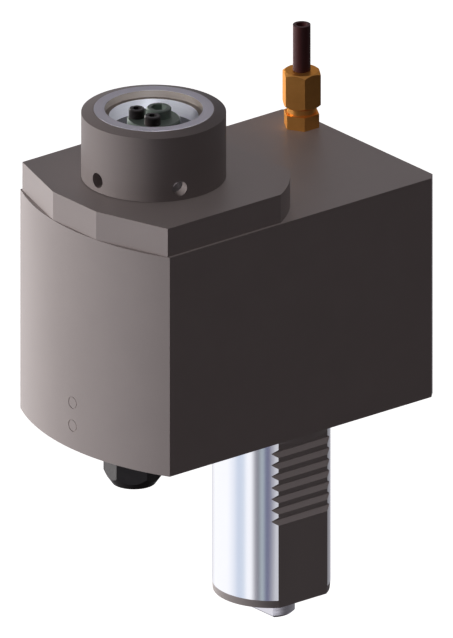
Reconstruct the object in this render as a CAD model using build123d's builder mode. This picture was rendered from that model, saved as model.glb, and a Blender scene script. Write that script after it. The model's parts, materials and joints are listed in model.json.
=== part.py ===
"""Driven tool holder with a toothed cylindrical shank, all sizes in millimetres.

The origin is on the shank axis at the seat face. +Z points up out of the housing and
-Y points to the curved front, where the tool spindle stands parallel to the shank.
"""
from build123d import *
from math import acos, cos, pi, radians, sin, sqrt, tan
import os

os.makedirs("parts", exist_ok=True)

# ---- Driving dimensions -------------------------------------------------------------
# Housing block
BODY_LEFT = -38.6
BODY_RIGHT = 41.2
BODY_BACK = 38.75
FRONT_CORNER_Y = -77.5
FRONT_BULGE = 9.8
BODY_HEIGHT = 79.5
REAR_CHAMFER = 2.7

# Top cover
COVER_THICKNESS = 10.2
COVER_INSET = 1.1
COVER_FACET_X = 27.3
COVER_FACET_Y = 8.9
COVER_REAR_Y = -12.5
COVER_ARC_R = 46.0
COVER_ARC_TURN = 45.0

# Shank
SHANK_R = 20.0
SHANK_LENGTH = 72.4
SHANK_FLAT_X = 17.0
SHANK_NECK = 13.0
SHANK_LEAD_LENGTH = 2.7
SHANK_LEAD_INSET = 0.25
GROOVE_COUNT = 7
GROOVE_PITCH = 4.1
GROOVE_WIDTH = 2.96
FIRST_GROOVE_TOP = 14.9
SHANK_BORE_R = 12.0
FLANGE_X = 62.0
FLANGE_Y = 54.0
FLANGE_THICKNESS = 10.0
FLANGE_CORNER_R = 6.0
PILOT_HEIGHT = 11.5

# Gears
MODULE = 1.5
TEETH = 34
PRESSURE_ANGLE = 20.0
BACKLASH = 0.12
GEAR_WIDTH = 16.0
GEAR_Z = 28.0
CHAMBER_TOP = 46.0
CHAMBER_CLEARANCE = 1.5

# Shafts
GEAR_SEAT_R = 12.0
KEY_WIDTH = 6.0
KEY_HEIGHT = 5.0
TANG_R = 8.3
TANG_WIDTH = 9.6
TANG_LENGTH = 8.4
TANG_CHAMFER = 1.0
GEAR_SHOULDER = 1.5
SHOULDER_STEP = 0.5
UPPER_SHOULDER = 0.3
SHAFT_RING_GROOVE = 0.8
SHAFT_RING_REACH = 2.2
SEAT_RING_REACH = 2.4
SPINDLE_RING_REACH = 4.0
KEY_END = 1.0
BEARING_STEP = 1.0
LOCK_NUT_HEIGHT = 7.0
LOCK_NUT_R = 20.0
LOCK_NUT_SLOTS = 4
LOCK_NUT_SLOT_DEPTH = 4.0
LOCK_NUT_SLOT_WIDTH = 5.0
SEAL_IN_SHANK = 3.8
SEAL_END_GAP = 0.3
SHANK_RING_GAP = 0.2
CHAMBER_FLOOR_GAP = 2.0

# Bearings: bore radius, outer radius, width
SMALL_BEARING = (8.5, 15.0, 7.0)
DRIVE_BEARING = (10.0, 21.0, 12.0)
FOOT_BEARING = (8.5, 17.5, 10.0)
SPINDLE_BEARING = (15.0, 27.5, 13.0)
SMALL_BALLS = 10
DRIVE_BALLS = 9
FOOT_BALLS = 8
SPINDLE_BALLS = 12
BALL_TO_SECTION = 0.27
BALL_TO_WIDTH = 0.36
RACE_SHOULDER = 0.55
CAGE_BAND = 0.25

# Tool spindle nose
NOSE_HEIGHT = 24.4
NOSE_R = 20.25
COLLAR_R = 24.45
COLLAR_RIM_R = 20.5
COLLAR_RIM_HEIGHT = 1.15
SPANNER_HOLE_R = 2.65
SPANNER_HOLES = 5
SPANNER_HOLE_HEIGHT = 4.5
SPANNER_HOLE_DEPTH = 8.5
COUNTERBORE_R = 16.6
COUNTERBORE_DEPTH = 2.5
SOCKET_R = 15.1
SOCKET_DEPTH = 7.8
SEAL_SHOULDER_R = 18.0
SEAL_R = 23.5
SEAL_WIDTH = 7.0
SEAL_SINK = 0.5

# Clamping unit in the socket
CLAMP_DISC_R = 9.0
CLAMP_DISC_HEIGHT = 4.5
CLAMP_BOLT_R = 4.2
CLAMP_BOLT_X = -0.3
CLAMP_BOLT_Y = 2.5
CLAMP_SCREW_R = 2.75
CLAMP_SCREW_X = 4.2
CLAMP_SCREW_Y = -3.9
CLAMP_BELOW_FACE = 0.15
CLAMP_DISC_CHAMFER = 0.5
CLAMP_BOLT_CHAMFER = 0.4
CLAMP_BOLT_KEY_WIDTH = 5.0
CLAMP_BOLT_KEY_DEPTH = 2.4
CLAMP_SCREW_CHAMFER = 0.35
CLAMP_SCREW_KEY_WIDTH = 2.7
CLAMP_SCREW_KEY_DEPTH = 1.8

# Screws (M5 socket head) and dowels
SCREW_R = 2.48
SCREW_HEAD_R = 4.25
SCREW_HEAD_HEIGHT = 5.0
SCREW_SINK = 0.6
SCREW_KEY_WIDTH = 4.0
FLANGE_SCREW_X = 25.5
FLANGE_SCREW_Y = 22.0
FLANGE_SCREW_REACH = 12.0
COVER_SCREWS = [(-33.0, -33.0), (33.0, -33.0), (-31.0, -70.0), (31.0, -70.0)]
COVER_SCREW_REACH = 7.5
DOWEL_R = 2.5
DOWEL_X = 33.0
DOWEL_LENGTH = 14.0
DOWEL_CHAMFER = 0.4
HOLE_RUNOUT = 1.0

# Oil plug under the housing and flush plugs in the front
OIL_PLUG_X = 16.8
OIL_PLUG_Y = -73.2
OIL_PLUG_WIDTH = 17.9
OIL_PLUG_HEIGHT = 10.3
OIL_PLUG_TURN = -13.9
OIL_PLUG_CONE = 1.5
OIL_PLUG_TAPER = 35.0
OIL_PLUG_THREAD_R = 5.0
OIL_PLUG_THREAD = 9.0
FLUSH_PLUG_R = 1.9
FLUSH_PLUG_LENGTH = 6.0
FLUSH_PLUG_RECESS = 0.35
FLUSH_PLUG_RIM = 0.3
FLUSH_PLUG_HEIGHTS = (8.6, 16.9)

# Coolant connector
COOLANT_X = -23.4
COOLANT_Y = 32.25
COOLANT_DRILL_R = 2.5
FITTING_HEX_WIDTH = 11.0
FITTING_HEX_HEIGHT = 4.9
FITTING_NECK_R = 5.0
FITTING_NECK_TOP = 7.3
FITTING_STEM_R = 4.3
FITTING_STEM_TOP = 12.0
FITTING_THREAD_R = 4.5
FITTING_THREAD = 9.0
NUT_HEX_WIDTH = 12.0
NUT_TOP = 20.0
NUT_CHAMFER = 1.0
NUT_FACE_INSET = 0.3
NUT_SEAT_GAP = 0.1
PIPE_R = 3.0
PIPE_BORE_R = 1.9
PIPE_SPIGOT_R = 2.7
PIPE_SHOULDER = 0.2
PIPE_FOOT_GAP = 0.2
PIPE_TOP = 36.6
FACE_SEAL_R = 4.2
FACE_SEAL_WIRE_R = 0.9

# Clearances
FIT = 0.05
SHAFT_GAP = 0.4
SCREW_GAP = 0.12
RACE_GAP = 0.08
CAGE_RIM = 0.7
NOSE_GAP = 0.3
RING_THICKNESS = 1.5
RING_GROOVE = 1.3

# ---- Worked out from the driving dimensions -----------------------------------------
CENTRE_DISTANCE = MODULE * TEETH
SPINDLE_Y = -CENTRE_DISTANCE
BODY_MID_X = (BODY_LEFT + BODY_RIGHT) / 2
FRONT_Y = FRONT_CORNER_Y - FRONT_BULGE
COVER_TOP = BODY_HEIGHT + COVER_THICKNESS
FACE_Z = COVER_TOP + NOSE_HEIGHT
SOCKET_FLOOR = FACE_Z - SOCKET_DEPTH
TIP_R = MODULE * (TEETH / 2 + 1)
CHAMBER_R = TIP_R + CHAMBER_CLEARANCE
DRIVE_SEAT_R = DRIVE_BEARING[1]
SPINDLE_SEAT_R = max(SPINDLE_BEARING[1], TIP_R + SHAFT_GAP)
SPINDLE_BEARINGS_Z = BODY_HEIGHT - 2 * SPINDLE_BEARING[2]
PILOT_TOP = FLANGE_THICKNESS + PILOT_HEIGHT
MIDDLE_BEARING_Z = PILOT_TOP - DRIVE_BEARING[2]
UPPER_BEARING_Z = CHAMBER_TOP + SHOULDER_STEP
SMALL_BEARING_Z = -SHANK_LENGTH + SEAL_IN_SHANK + RING_THICKNESS + SHANK_RING_GAP
SMALL_RING_Z = SMALL_BEARING_Z - RING_THICKNESS
CHAMBER_FLOOR = PILOT_TOP + CHAMBER_FLOOR_GAP
FOOT_BEARING_Z = CHAMBER_FLOOR - FOOT_BEARING[2]
GEAR_TOP = GEAR_Z + GEAR_WIDTH
RACE_RING_Z = SPINDLE_BEARINGS_Z - RING_THICKNESS
SEAL_Z = COVER_TOP - SEAL_WIDTH - SEAL_SINK
SCREW_HEAD_TOP = SCREW_SINK + SCREW_HEAD_HEIGHT
COLLAR_FOOT = COVER_TOP + NOSE_GAP


def polar(radius, angle, centre_y=0.0):
    """Point at a radius and an angle in degrees about (0, centre_y)."""
    return (radius * cos(radians(angle)), centre_y + radius * sin(radians(angle)))


def ring(axis_x, axis_y, bottom, height, inner, outer):
    """Plain ring about a vertical axis."""
    with BuildPart() as made:
        with BuildSketch(Plane((axis_x, axis_y, bottom))):
            Circle(outer)
            Circle(inner, mode=Mode.SUBTRACT)
        extrude(amount=height)
    return made


def stepped_shaft(axis_y, steps):
    """Solid of revolution from (bottom, top, radius) steps, joined end to end."""
    with BuildPart() as made:
        for bottom, top, radius in steps:
            with BuildSketch(Plane((0, axis_y, bottom))):
                Circle(radius)
            extrude(amount=top - bottom)
    return made


def socket_screw(places, foot, top, key_width=SCREW_KEY_WIDTH):
    """Socket-head screws, heads down, from the head's foot to the thread's top."""
    with BuildPart() as made:
        for place in places:
            with BuildSketch(Plane((*place, foot))):
                Circle(SCREW_HEAD_R)
            extrude(amount=SCREW_HEAD_HEIGHT)
            with BuildSketch(Plane((*place, foot + SCREW_HEAD_HEIGHT))):
                Circle(SCREW_R)
            extrude(amount=top - foot - SCREW_HEAD_HEIGHT)
            with BuildSketch(Plane((*place, foot))):
                RegularPolygon(key_width / 2, 6, major_radius=False)
            extrude(amount=SCREW_HEAD_HEIGHT / 2, mode=Mode.SUBTRACT)
    return made


def bearing(name, axis_y, bottom, size, balls):
    """Ball bearing as an outer race, an inner race and a cage with its balls."""
    bore_r, outer_r, width = size
    pitch_r = (bore_r + outer_r) / 2
    ball_r = min(BALL_TO_SECTION * (outer_r - bore_r), BALL_TO_WIDTH * width)
    middle = Plane((0, axis_y, bottom + width / 2), x_dir=(1, 0, 0), z_dir=(0, -1, 0))
    axis = Axis((0, axis_y, 0), (0, 0, 1))
    for piece, inner, outer in (
        ("outer_race", pitch_r + RACE_SHOULDER * ball_r, outer_r),
        ("inner_race", bore_r, pitch_r - RACE_SHOULDER * ball_r),
    ):
        with BuildPart() as race:
            with BuildSketch(Plane((0, axis_y, bottom))):
                Circle(outer)
                Circle(inner, mode=Mode.SUBTRACT)
            extrude(amount=width)
            with BuildSketch(middle):
                with Locations((pitch_r, 0)):
                    Circle(ball_r + RACE_GAP)
            revolve(axis=axis, mode=Mode.SUBTRACT)
        race.part.label = f"{name}_{piece}"
        export_step(race.part, f"parts/{name}_{piece}.step")
    with BuildPart() as cage:
        with BuildSketch(Plane((0, axis_y, bottom + width / 2 - ball_r - CAGE_RIM))):
            Circle(pitch_r + CAGE_BAND * ball_r)
            Circle(pitch_r - CAGE_BAND * ball_r, mode=Mode.SUBTRACT)
        extrude(amount=2 * (ball_r + CAGE_RIM))
        centre = (0, axis_y, bottom + width / 2)
        for ball in range(balls):
            with BuildSketch(Plane(centre, z_dir=(*polar(1, ball * 360 / balls), 0))):
                Circle(ball_r + RACE_GAP)
            extrude(amount=outer_r, mode=Mode.SUBTRACT)
        with Locations(centre):
            with PolarLocations(pitch_r, balls):
                Sphere(ball_r)
    cage.part.label = f"{name}_balls"
    export_step(cage.part, f"parts/{name}_balls.step")


def gear(axis_y, first_tooth):
    """Spur gear with involute flanks, a key slot towards +X and a tooth at first_tooth."""
    pitch_r = MODULE * TEETH / 2
    base_r = pitch_r * cos(radians(PRESSURE_ANGLE))
    root_r = pitch_r - 1.25 * MODULE
    flank_mid_r = (base_r + TIP_R) / 2

    def half_tooth(radius):
        """Half a tooth's angle in degrees at a radius on the involute."""
        slope = acos(min(1.0, base_r / radius))
        involute = tan(slope) - slope
        standard = tan(radians(PRESSURE_ANGLE)) - radians(PRESSURE_ANGLE)
        half = pi / (2 * TEETH) - BACKLASH / (2 * pitch_r) + standard - involute
        return half * 180 / pi

    step = 360 / TEETH
    with BuildPart() as made:
        with BuildSketch(Plane((0, 0, GEAR_Z))):
            with BuildLine():
                for tooth in range(TEETH):
                    centre = first_tooth + tooth * step
                    base, mid, tip = (half_tooth(r) for r in (base_r, flank_mid_r, TIP_R))
                    rising = [(root_r, -base), (base_r, -base), (flank_mid_r, -mid), (TIP_R, -tip)]
                    falling = [(radius, -turn) for radius, turn in reversed(rising)]
                    up = [polar(radius, centre + turn, axis_y) for radius, turn in rising]
                    down = [polar(radius, centre + turn, axis_y) for radius, turn in falling]
                    Line(up[0], up[1])
                    ThreePointArc(up[1], up[2], up[3])
                    ThreePointArc(up[3], polar(TIP_R, centre, axis_y), down[0])
                    ThreePointArc(down[0], down[1], down[2])
                    Line(down[2], down[3])
                    gap_middle = polar(root_r, centre + step / 2, axis_y)
                    ThreePointArc(down[3], gap_middle, polar(root_r, centre + step - base, axis_y))
            make_face()
            with Locations((0, axis_y)):
                Circle(GEAR_SEAT_R + FIT / 2, mode=Mode.SUBTRACT)
            with Locations((GEAR_SEAT_R, axis_y)):
                Rectangle(KEY_HEIGHT + 2 * FIT, KEY_WIDTH + 2 * FIT, mode=Mode.SUBTRACT)
        extrude(amount=GEAR_WIDTH)
    return made


def feather_key(axis_y, clearance=0.0):
    """Parallel key half in the shaft and half in the gear."""
    with BuildPart() as made:
        with BuildSketch(Plane((GEAR_SEAT_R, axis_y, GEAR_Z + KEY_END - clearance))):
            Rectangle(KEY_HEIGHT + 2 * clearance, KEY_WIDTH + 2 * clearance)
        extrude(amount=GEAR_WIDTH - 2 * KEY_END + 2 * clearance)
    return made


# ---- Housing ------------------------------------------------------------------------
flange_screw_places = [(x, y) for x in (-FLANGE_SCREW_X, FLANGE_SCREW_X)
                       for y in (-FLANGE_SCREW_Y, FLANGE_SCREW_Y)]

with BuildPart() as housing:
    with BuildSketch():
        with BuildLine():
            Polyline(
                (BODY_LEFT, FRONT_CORNER_Y),
                (BODY_LEFT, BODY_BACK - REAR_CHAMFER),
                (BODY_LEFT + REAR_CHAMFER, BODY_BACK),
                (BODY_RIGHT - REAR_CHAMFER, BODY_BACK),
                (BODY_RIGHT, BODY_BACK - REAR_CHAMFER),
                (BODY_RIGHT, FRONT_CORNER_Y),
            )
            ThreePointArc((BODY_RIGHT, FRONT_CORNER_Y), (BODY_MID_X, FRONT_Y), (BODY_LEFT, FRONT_CORNER_Y))
        make_face()
    extrude(amount=BODY_HEIGHT)
    # Pocket for the shank's flange and the chamber of the drive gear, bored from below
    with BuildSketch():
        RectangleRounded(FLANGE_X + 2 * FIT, FLANGE_Y + 2 * FIT, FLANGE_CORNER_R + FIT)
    extrude(amount=FLANGE_THICKNESS, mode=Mode.SUBTRACT)
    for bottom, top, radius in (
        (FLANGE_THICKNESS, CHAMBER_TOP, CHAMBER_R),
        (CHAMBER_TOP, UPPER_BEARING_Z + DRIVE_BEARING[2], DRIVE_SEAT_R + FIT / 2),
    ):
        with BuildSketch(Plane.XY.offset(bottom)):
            Circle(radius)
        extrude(amount=top - bottom, mode=Mode.SUBTRACT)
    # Spindle bore from above, its ring groove and the seat of the foot bearing
    for bottom, top, radius in (
        (CHAMBER_FLOOR, BODY_HEIGHT, SPINDLE_SEAT_R + FIT / 2),
        (RACE_RING_Z - FIT, SPINDLE_BEARINGS_Z, SPINDLE_SEAT_R + RING_GROOVE),
        (FOOT_BEARING_Z, CHAMBER_FLOOR, FOOT_BEARING[1] + FIT / 2),
    ):
        with BuildSketch(Plane((0, SPINDLE_Y, bottom))):
            Circle(radius)
        extrude(amount=top - bottom, mode=Mode.SUBTRACT)
    # Screw, dowel and plug holes
    with BuildSketch(Plane.XY.offset(FLANGE_THICKNESS)):
        with Locations(*flange_screw_places):
            Circle(SCREW_R + FIT)
    extrude(amount=FLANGE_SCREW_REACH + HOLE_RUNOUT, mode=Mode.SUBTRACT)
    with BuildSketch():
        with Locations(*COVER_SCREWS):
            Circle(SCREW_HEAD_R + SCREW_GAP)
    extrude(amount=SCREW_HEAD_TOP, mode=Mode.SUBTRACT)
    with BuildSketch(Plane.XY.offset(SCREW_HEAD_TOP)):
        with Locations(*COVER_SCREWS):
            Circle(SCREW_R + SCREW_GAP)
    extrude(amount=BODY_HEIGHT - SCREW_HEAD_TOP, mode=Mode.SUBTRACT)
    with BuildSketch(Plane.XY.offset(BODY_HEIGHT - DOWEL_LENGTH / 2)):
        with Locations((-DOWEL_X, SPINDLE_Y), (DOWEL_X, SPINDLE_Y)):
            Circle(DOWEL_R + FIT / 2)
    extrude(amount=DOWEL_LENGTH / 2, mode=Mode.SUBTRACT)
    with BuildSketch():
        with Locations((OIL_PLUG_X, OIL_PLUG_Y)):
            Circle(OIL_PLUG_THREAD_R + FIT)
    extrude(amount=OIL_PLUG_THREAD + HOLE_RUNOUT, mode=Mode.SUBTRACT)
    # Coolant drilling with its face seal below and the connector's thread above
    with BuildSketch():
        with Locations((COOLANT_X, COOLANT_Y)):
            Circle(COOLANT_DRILL_R)
    extrude(amount=BODY_HEIGHT, mode=Mode.SUBTRACT)
    with BuildSketch(Plane.XY.offset(BODY_HEIGHT - FITTING_THREAD - HOLE_RUNOUT)):
        with Locations((COOLANT_X, COOLANT_Y)):
            Circle(FITTING_THREAD_R + FIT)
    extrude(amount=FITTING_THREAD + HOLE_RUNOUT, mode=Mode.SUBTRACT)
    with BuildSketch():
        with Locations((COOLANT_X, COOLANT_Y)):
            Circle(FACE_SEAL_R + FACE_SEAL_WIRE_R + FIT)
    extrude(amount=2 * FACE_SEAL_WIRE_R + FIT, mode=Mode.SUBTRACT)
    for height in FLUSH_PLUG_HEIGHTS:
        for radius, depth in ((FLUSH_PLUG_R + FIT, FLUSH_PLUG_LENGTH + HOLE_RUNOUT),
                              (FLUSH_PLUG_R + FLUSH_PLUG_RIM, FLUSH_PLUG_RECESS)):
            with BuildSketch(Plane((BODY_MID_X, FRONT_Y, height), z_dir=(0, 1, 0))):
                Circle(radius)
            extrude(amount=depth, both=True, mode=Mode.SUBTRACT)
housing.part.label = "housing"
export_step(housing.part, "parts/housing.step")

# ---- Cover --------------------------------------------------------------------------
cover_left = BODY_LEFT + COVER_INSET
cover_right = BODY_RIGHT - COVER_INSET
cover_front = FRONT_CORNER_Y - COVER_FACET_Y
rear_half = COVER_REAR_Y - SPINDLE_Y
rear_x = sqrt(COVER_ARC_R ** 2 - rear_half ** 2)


def cover_arc(side_x):
    """Rear corner from the side edge to the rear edge, about the spindle axis."""
    side_y = SPINDLE_Y + sqrt(COVER_ARC_R ** 2 - side_x ** 2)
    turn = COVER_ARC_TURN if side_x > 0 else 180 - COVER_ARC_TURN
    end_x = rear_x if side_x > 0 else -rear_x
    ThreePointArc((side_x, side_y), polar(COVER_ARC_R, turn, SPINDLE_Y), (end_x, COVER_REAR_Y))
    return side_y


with BuildPart() as cover:
    with BuildSketch(Plane.XY.offset(BODY_HEIGHT)):
        with BuildLine():
            left_y = cover_arc(cover_left)
            right_y = cover_arc(cover_right)
            Line((-rear_x, COVER_REAR_Y), (rear_x, COVER_REAR_Y))
            Polyline(
                (cover_left, left_y),
                (cover_left, FRONT_CORNER_Y),
                (cover_left + COVER_FACET_X, cover_front),
                (cover_right - COVER_FACET_X, cover_front),
                (cover_right, FRONT_CORNER_Y),
                (cover_right, right_y),
            )
        make_face()
    extrude(amount=COVER_THICKNESS)
    for bottom, radius in ((BODY_HEIGHT, SEAL_SHOULDER_R + SHAFT_GAP), (SEAL_Z, SEAL_R + FIT / 2)):
        with BuildSketch(Plane((0, SPINDLE_Y, bottom))):
            Circle(radius)
        extrude(amount=COVER_TOP - bottom, mode=Mode.SUBTRACT)
    with BuildSketch(Plane.XY.offset(BODY_HEIGHT)):
        with Locations(*COVER_SCREWS):
            Circle(SCREW_R + FIT)
        with Locations((-DOWEL_X, SPINDLE_Y), (DOWEL_X, SPINDLE_Y)):
            Circle(DOWEL_R + FIT / 2)
    extrude(amount=COVER_SCREW_REACH + HOLE_RUNOUT / 2, mode=Mode.SUBTRACT)
cover.part.label = "cover"
export_step(cover.part, "parts/cover.step")

# ---- Shank --------------------------------------------------------------------------
with BuildPart() as shank:
    with BuildSketch(Plane.XY.offset(-SHANK_LENGTH)):
        Circle(SHANK_R)
    extrude(amount=SHANK_LENGTH)
    chamfer(shank.faces().sort_by(Axis.Z)[0].edges(), SHANK_LEAD_LENGTH, SHANK_LEAD_INSET,
            reference=shank.faces().filter_by(GeomType.CYLINDER)[0])
    with BuildSketch():
        RectangleRounded(FLANGE_X, FLANGE_Y, FLANGE_CORNER_R)
    extrude(amount=FLANGE_THICKNESS)
    with BuildSketch(Plane.XY.offset(FLANGE_THICKNESS)):
        Circle(CHAMBER_R - FIT)
    extrude(amount=PILOT_HEIGHT)
    # Flat and clamping teeth on the +X side
    with BuildSketch(Plane.XY.offset(-SHANK_LENGTH)):
        with Locations((SHANK_FLAT_X, 0)):
            Rectangle(SHANK_R, 2 * SHANK_R, align=(Align.MIN, Align.CENTER))
    extrude(amount=SHANK_LENGTH - SHANK_NECK, mode=Mode.SUBTRACT)
    for groove in range(GROOVE_COUNT):
        depth = FIRST_GROOVE_TOP + GROOVE_WIDTH / 2 + groove * GROOVE_PITCH
        with BuildSketch(Plane.XZ.offset(-SHANK_R)):
            with BuildLine():
                Polyline(
                    (SHANK_FLAT_X + 1, -depth + GROOVE_WIDTH / 2 + 1),
                    (SHANK_FLAT_X - GROOVE_WIDTH / 2, -depth),
                    (SHANK_FLAT_X + 1, -depth - GROOVE_WIDTH / 2 - 1),
                    close=True,
                )
            make_face()
        extrude(amount=2 * SHANK_R, mode=Mode.SUBTRACT)
    # Shaft bore, bearing seats and ring groove
    for bottom, top, radius in (
        (-SHANK_LENGTH, PILOT_TOP, SHANK_BORE_R),
        (MIDDLE_BEARING_Z, PILOT_TOP, DRIVE_SEAT_R + FIT / 2),
        (-SHANK_LENGTH, SMALL_BEARING_Z + SMALL_BEARING[2], SMALL_BEARING[1] + FIT / 2),
        (SMALL_RING_Z - FIT, SMALL_BEARING_Z, SMALL_BEARING[1] + RING_GROOVE / 2),
    ):
        with BuildSketch(Plane.XY.offset(bottom)):
            Circle(radius)
        extrude(amount=top - bottom, mode=Mode.SUBTRACT)
    with BuildSketch():
        with Locations(*flange_screw_places):
            Circle(SCREW_HEAD_R + SCREW_GAP)
    extrude(amount=SCREW_HEAD_TOP, mode=Mode.SUBTRACT)
    with BuildSketch(Plane.XY.offset(SCREW_HEAD_TOP)):
        with Locations(*flange_screw_places):
            Circle(SCREW_R + SCREW_GAP)
    extrude(amount=FLANGE_THICKNESS - SCREW_HEAD_TOP, mode=Mode.SUBTRACT)
shank.part.label = "shank"
export_step(shank.part, "parts/shank.step")

shank_seal = ring(0, 0, -SHANK_LENGTH + SEAL_END_GAP, SEAL_IN_SHANK - 2 * SEAL_END_GAP, SMALL_BEARING[0] + FIT, SMALL_BEARING[1])
shank_seal.part.label = "shank_seal"
export_step(shank_seal.part, "parts/shank_seal.step")

shank_ring = ring(0, 0, SMALL_RING_Z, RING_THICKNESS - FIT,
                  SMALL_BEARING[1] - SEAT_RING_REACH, SMALL_BEARING[1] + RING_GROOVE / 2 - FIT)
shank_ring.part.label = "shank_retaining_ring"
export_step(shank_ring.part, "parts/shank_retaining_ring.step")

# ---- Screws and dowels --------------------------------------------------------------
flange_screws = socket_screw(flange_screw_places, SCREW_SINK, FLANGE_THICKNESS + FLANGE_SCREW_REACH)
flange_screws.part.label = "flange_screws"
export_step(flange_screws.part, "parts/flange_screws.step")

cover_screws = socket_screw(COVER_SCREWS, SCREW_SINK, BODY_HEIGHT + COVER_SCREW_REACH)
cover_screws.part.label = "cover_screws"
export_step(cover_screws.part, "parts/cover_screws.step")

with BuildPart() as dowels:
    with BuildSketch(Plane.XY.offset(BODY_HEIGHT - DOWEL_LENGTH / 2 + FIT)):
        with Locations((-DOWEL_X, SPINDLE_Y), (DOWEL_X, SPINDLE_Y)):
            Circle(DOWEL_R)
    extrude(amount=DOWEL_LENGTH)
    chamfer(dowels.edges().filter_by(GeomType.CIRCLE), DOWEL_CHAMFER)
dowels.part.label = "cover_dowels"
export_step(dowels.part, "parts/cover_dowels.step")

# ---- Plugs --------------------------------------------------------------------------
with BuildPart() as oil_plug:
    with BuildSketch(Plane((OIL_PLUG_X, OIL_PLUG_Y, -OIL_PLUG_HEIGHT))):
        RegularPolygon(OIL_PLUG_WIDTH / 2, 6, major_radius=False, rotation=OIL_PLUG_TURN)
    extrude(amount=OIL_PLUG_HEIGHT)
    with BuildSketch(Plane((OIL_PLUG_X, OIL_PLUG_Y, -OIL_PLUG_HEIGHT))):
        Circle(OIL_PLUG_WIDTH / 2 - OIL_PLUG_CONE)
    extrude(amount=OIL_PLUG_HEIGHT, taper=-OIL_PLUG_TAPER, mode=Mode.INTERSECT)
    with BuildSketch(Plane((OIL_PLUG_X, OIL_PLUG_Y, 0))):
        Circle(OIL_PLUG_THREAD_R)
    extrude(amount=OIL_PLUG_THREAD)
oil_plug.part.label = "oil_plug"
export_step(oil_plug.part, "parts/oil_plug.step")

with BuildPart() as flush_plugs:
    for height in FLUSH_PLUG_HEIGHTS:
        with BuildSketch(Plane((BODY_MID_X, FRONT_Y + FIT, height), z_dir=(0, 1, 0))):
            Circle(FLUSH_PLUG_R)
        extrude(amount=FLUSH_PLUG_LENGTH)
flush_plugs.part.label = "front_plugs"
export_step(flush_plugs.part, "parts/front_plugs.step")

# ---- Coolant connector and pipe -----------------------------------------------------
with BuildPart() as fitting:
    with BuildSketch(Plane((COOLANT_X, COOLANT_Y, BODY_HEIGHT))):
        RegularPolygon(FITTING_HEX_WIDTH / 2, 6, major_radius=False, rotation=30)
    extrude(amount=FITTING_HEX_HEIGHT)
    for bottom, top, radius in (
        (-FITTING_THREAD, 0, FITTING_THREAD_R),
        (FITTING_HEX_HEIGHT, FITTING_NECK_TOP, FITTING_NECK_R),
        (FITTING_NECK_TOP, FITTING_STEM_TOP, FITTING_STEM_R),
    ):
        with BuildSketch(Plane((COOLANT_X, COOLANT_Y, BODY_HEIGHT + bottom))):
            Circle(radius)
        extrude(amount=top - bottom)
    with BuildSketch(Plane((COOLANT_X, COOLANT_Y, BODY_HEIGHT - FITTING_THREAD))):
        Circle(PIPE_BORE_R)
    extrude(amount=FITTING_THREAD + FITTING_STEM_TOP, mode=Mode.SUBTRACT)
fitting.part.label = "connector_body"
export_step(fitting.part, "parts/connector_body.step")

with BuildPart() as union_nut:
    with BuildSketch(Plane((COOLANT_X, COOLANT_Y, BODY_HEIGHT + FITTING_NECK_TOP))):
        RegularPolygon(NUT_HEX_WIDTH / 2, 6, major_radius=False, rotation=30)
    extrude(amount=NUT_TOP - FITTING_NECK_TOP)
    nut_mid = BODY_HEIGHT + (FITTING_NECK_TOP + NUT_TOP) / 2
    half_height = (NUT_TOP - FITTING_NECK_TOP) / 2
    with BuildSketch(Plane((COOLANT_X, COOLANT_Y, 0), x_dir=(1, 0, 0), z_dir=(0, -1, 0))):
        with BuildLine():
            corner_r = NUT_HEX_WIDTH / sqrt(3)
            Polyline(
                (0, nut_mid - half_height),
                (NUT_HEX_WIDTH / 2 - NUT_FACE_INSET, nut_mid - half_height),
                (corner_r + FIT, nut_mid - half_height + NUT_CHAMFER),
                (corner_r + FIT, nut_mid + half_height - NUT_CHAMFER),
                (NUT_HEX_WIDTH / 2 - NUT_FACE_INSET, nut_mid + half_height),
                (0, nut_mid + half_height),
                close=True,
            )
        make_face()
    revolve(axis=Axis((COOLANT_X, COOLANT_Y, 0), (0, 0, 1)), mode=Mode.INTERSECT)
    for top, radius in ((FITTING_STEM_TOP + NUT_SEAT_GAP, FITTING_STEM_R + FIT), (NUT_TOP, PIPE_SPIGOT_R + FIT)):
        with BuildSketch(Plane((COOLANT_X, COOLANT_Y, BODY_HEIGHT + FITTING_NECK_TOP))):
            Circle(radius)
        extrude(amount=top - FITTING_NECK_TOP, mode=Mode.SUBTRACT)
union_nut.part.label = "connector_nut"
export_step(union_nut.part, "parts/connector_nut.step")

pipe_foot = FITTING_STEM_TOP + PIPE_FOOT_GAP
pipe_shoulder_z = NUT_TOP + PIPE_SHOULDER
pipe_spigot = ring(COOLANT_X, COOLANT_Y, BODY_HEIGHT + pipe_foot, pipe_shoulder_z - pipe_foot,
                   PIPE_BORE_R, PIPE_SPIGOT_R)
pipe_end = ring(COOLANT_X, COOLANT_Y, BODY_HEIGHT + pipe_shoulder_z, PIPE_TOP - pipe_shoulder_z,
                PIPE_BORE_R, PIPE_R)
with BuildPart() as coolant_pipe:
    add(pipe_spigot.part)
    add(pipe_end.part)
coolant_pipe.part.label = "coolant_pipe"
export_step(coolant_pipe.part, "parts/coolant_pipe.step")

with BuildPart() as face_seal:
    with BuildSketch(Plane((COOLANT_X, COOLANT_Y, FACE_SEAL_WIRE_R + FIT), x_dir=(1, 0, 0), z_dir=(0, -1, 0))):
        with Locations((FACE_SEAL_R, 0)):
            Circle(FACE_SEAL_WIRE_R)
    revolve(axis=Axis((COOLANT_X, COOLANT_Y, 0), (0, 0, 1)))
face_seal.part.label = "coolant_face_seal"
export_step(face_seal.part, "parts/coolant_face_seal.step")

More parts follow.
